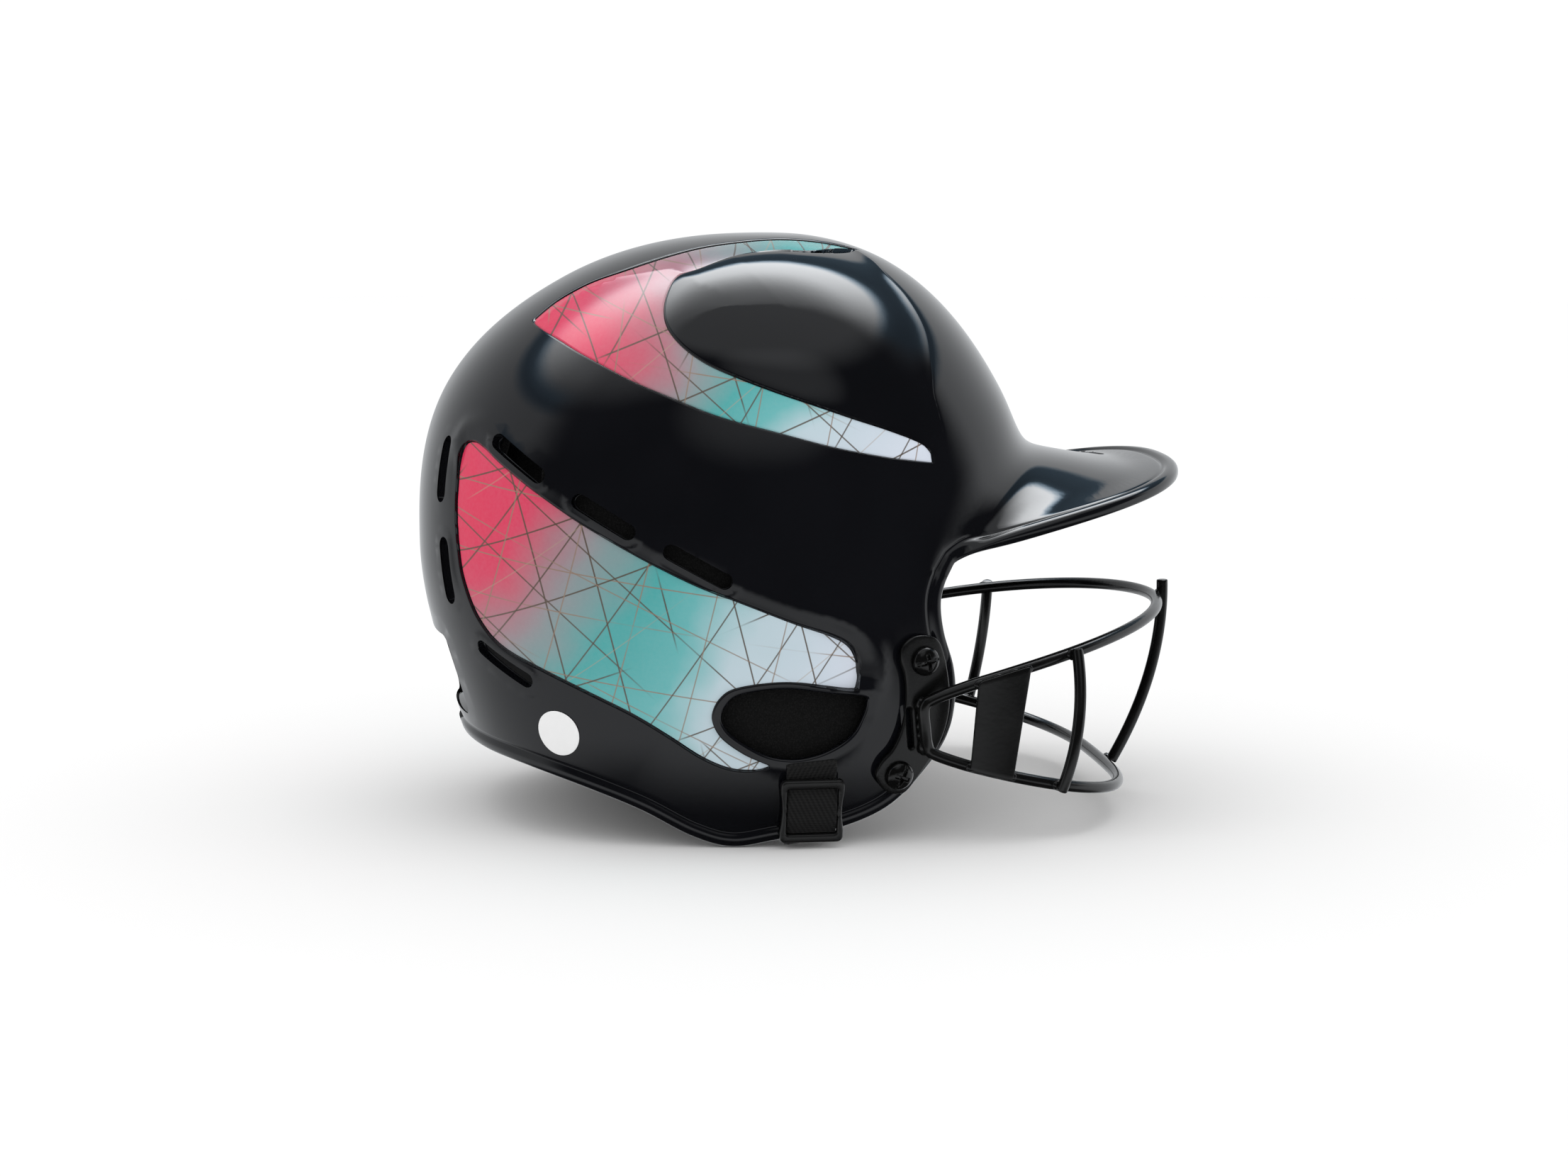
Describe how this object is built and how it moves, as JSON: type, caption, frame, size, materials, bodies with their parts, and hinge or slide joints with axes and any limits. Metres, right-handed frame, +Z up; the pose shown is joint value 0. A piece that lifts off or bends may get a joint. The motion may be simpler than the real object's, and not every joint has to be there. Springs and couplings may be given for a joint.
{
  "type": "batting helmet",
  "caption": "Glossy batting helmet with a bill, ear flaps, inlaid side panels, padded liner, rear port, chin strap with slider buckles and a screwed-on wire face guard.",
  "frame": {"origin": "centre of the part's box at its lowest point, where the rims of the ear flaps touch the table", "axes": "+X forward along the bill, +Y to the wearer's left, +Z up"},
  "size_m": [0.32, 0.2246, 0.2381],
  "materials": {
    "shell": "glossy black moulded shell",
    "panel": "satin printed inlay fading from pink over teal to pale blue",
    "label": "plain white film",
    "guard": "gloss black dip coat on steel wire",
    "screw": "black screw heads",
    "nut": "zinc-plated nuts",
    "spacer": "black washers",
    "pad": "black fabric over foam",
    "strap": "black woven webbing",
    "buckle": "matte black moulded plastic"
  },
  "bodies": {
    "helmet": {"shell": "shell", "crown_panel_right": "panel", "crown_panel_left": "panel", "side_panel_right": "panel", "side_panel_left": "panel", "round_label": "label", "guard_hoop": "guard", "centre_bar": "guard", "side_bar_right": "guard", "side_bar_left": "guard", "side_plate_right": "guard", "side_plate_left": "guard", "mount_plate_right": "guard", "mount_plate_left": "guard", "spacers_right": "spacer", "spacers_left": "spacer", "screws_right": "screw", "screws_left": "screw", "nuts_right": "nut", "nuts_left": "nut", "crown_pad": "pad", "front_pad": "pad", "rear_pad": "pad", "side_pad_right": "pad", "side_pad_left": "pad", "jaw_pad_right": "pad", "jaw_pad_left": "pad", "strap_loop_right": "strap", "strap_loop_left": "strap"},
    "slider_right": {"slider_right": "buckle", "strap_end_right": "strap"},
    "slider_left": {"slider_left": "buckle", "strap_end_left": "strap"},
    "chin_strap": {"chin_strap": "strap"}
  },
  "joints": [
    {"name": "slider_right_slide", "type": "slide", "parent": "helmet", "child": "slider_right", "axis": [-0.0051, -0.2358, 0.9718], "range_m": [0, 0.006]},
    {"name": "slider_left_slide", "type": "slide", "parent": "helmet", "child": "slider_left", "axis": [-0.0051, 0.2358, 0.9718], "range_m": [0, 0.006]},
    {"name": "chin_strap_swing", "type": "hinge", "parent": "helmet", "child": "chin_strap", "pos_m": [-0.01235, 0, 0.0016], "axis": [0, 1, 0], "range_deg": [-90, 60]}
  ]
}
